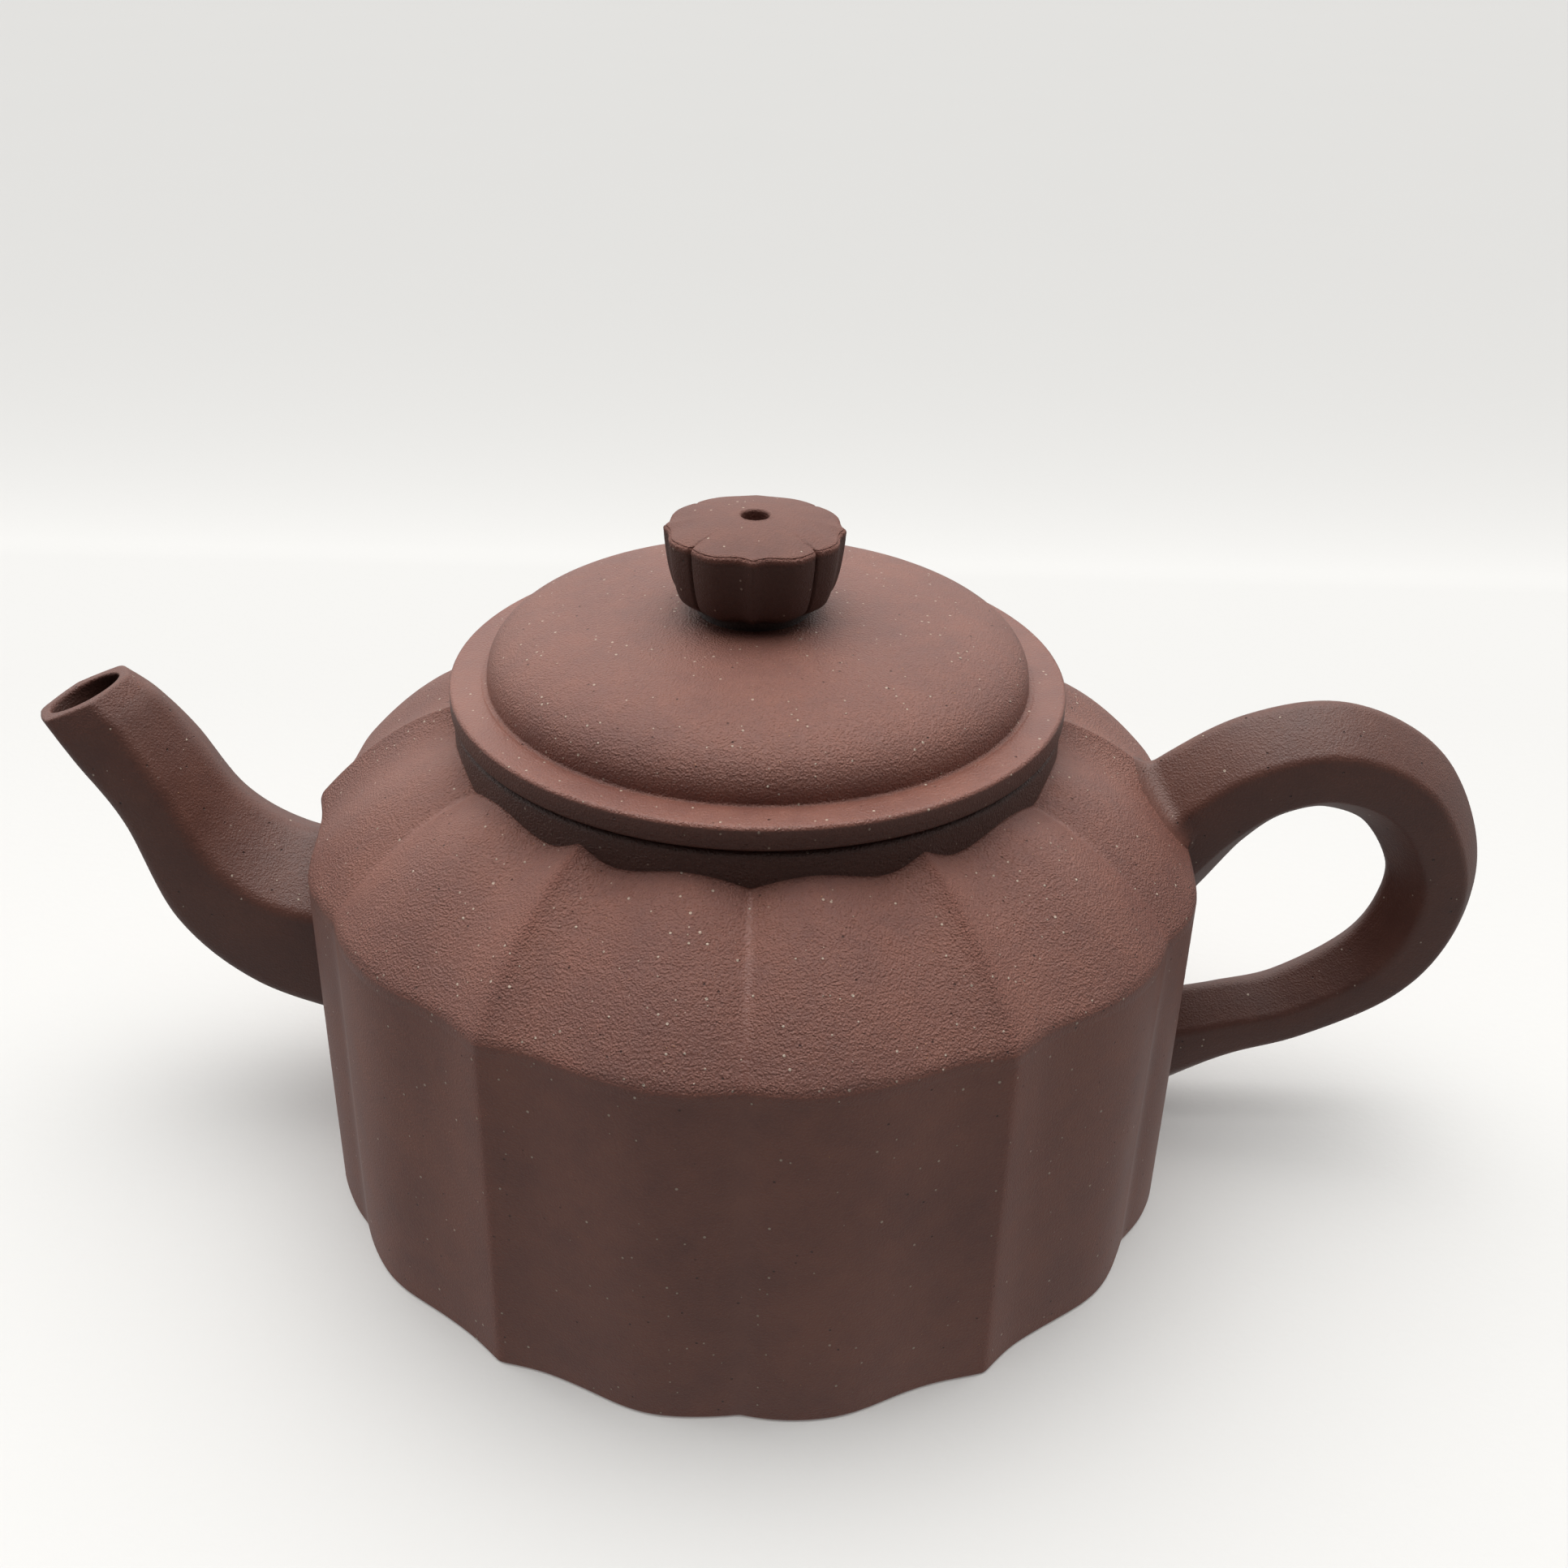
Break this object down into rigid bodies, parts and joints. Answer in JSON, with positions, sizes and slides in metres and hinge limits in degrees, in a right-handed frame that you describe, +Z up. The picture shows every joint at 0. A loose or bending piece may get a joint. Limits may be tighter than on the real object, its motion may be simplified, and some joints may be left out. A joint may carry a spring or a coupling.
{
  "type": "clay teapot",
  "caption": "Round slab-built clay teapot with a petalled body and shoulder, curved faceted spout, ear-shaped handle and a low domed lid with a lobed knob.",
  "frame": {"origin": "on the table, at the centre of the flat underside, on the axis that the body, neck and lid share", "axes": "+Z up, +X from the body's axis towards the handle, so the spout points along -X"},
  "size_m": [0.151, 0.0926, 0.0712],
  "materials": {
    "clay_grained": "unglazed purple-brown fired clay, matt, with a fine orange-peel grain and pale sand specks",
    "clay_burnished": "unglazed purple-brown fired clay, lightly burnished to a soft satin",
    "clay_hidden": "unglazed purple-brown fired clay, as tooled, dry and matt"
  },
  "bodies": {
    "pot": {"base_plate": "clay_hidden", "body_wall": "clay_burnished", "shoulder": "clay_grained", "neck_ring": "clay_grained", "spout": "clay_burnished", "spout_strainer": "clay_hidden", "handle": "clay_burnished"},
    "lid_seat": {"lid_flange": "clay_hidden"},
    "lid": {"lid_plate": "clay_grained", "knob": "clay_burnished"}
  },
  "joints": [
    {"name": "lid_lift", "type": "slide", "parent": "pot", "child": "lid_seat", "axis": [0, 0, 1], "range_m": [0, 0.05]},
    {"name": "lid_turn", "type": "hinge", "parent": "lid_seat", "child": "lid", "pos_m": [0, 0, 0.0525], "axis": [0, 0, 1], "continuous": true}
  ]
}
